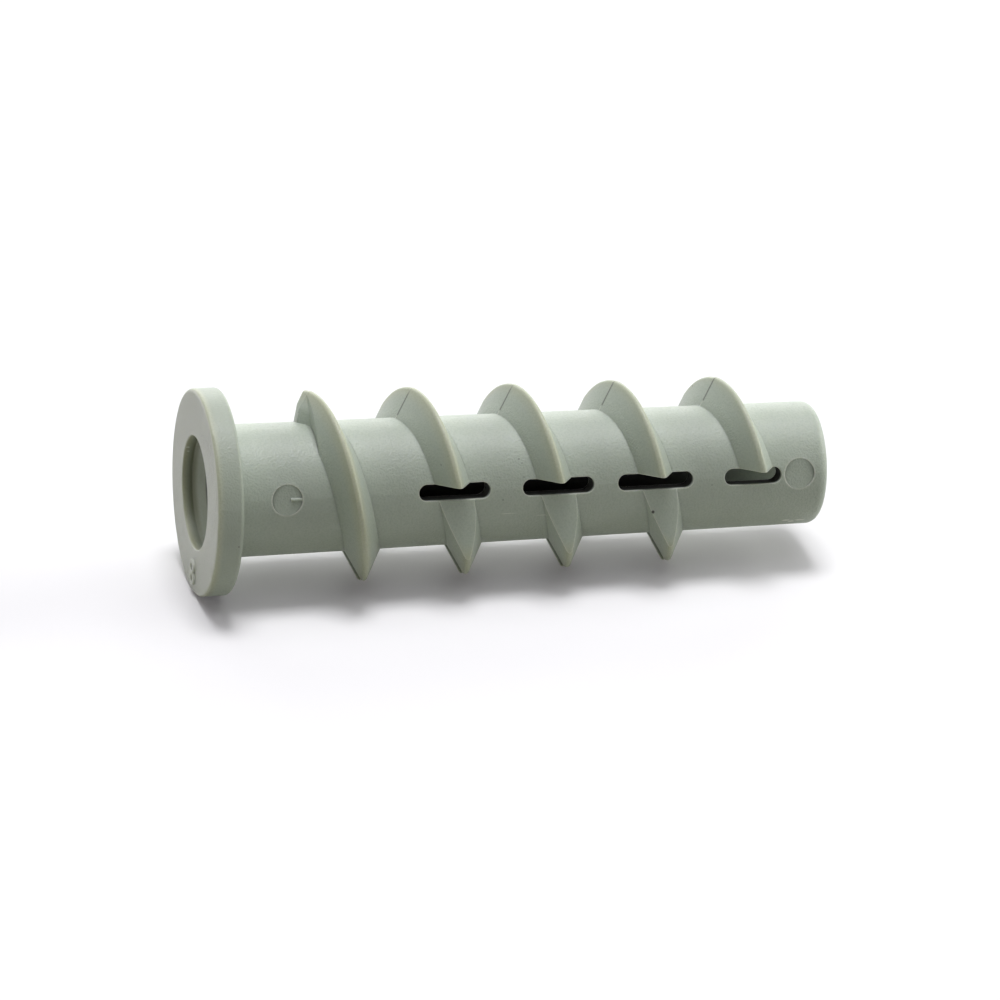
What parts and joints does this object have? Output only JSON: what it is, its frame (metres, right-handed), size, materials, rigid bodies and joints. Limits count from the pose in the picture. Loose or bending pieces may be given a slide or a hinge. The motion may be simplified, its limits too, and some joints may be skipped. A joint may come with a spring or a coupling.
{
  "type": "aerated concrete plug",
  "caption": "Moulded nylon wall plug with a round collar, a tapered hollow sleeve, a helical rib and slotted walls that spread around a screw.",
  "frame": {"origin": "centre of the collar's outer face", "axes": "+Z along the bore from the collar to the open tip; +X out of the middle of the near mould half, through its slots"},
  "size_m": [0.0194, 0.0194, 0.06],
  "materials": {
    "nylon": "satin moulded nylon, light grey-green"
  },
  "bodies": {
    "root": {"plug": "nylon"}
  },
  "joints": []
}
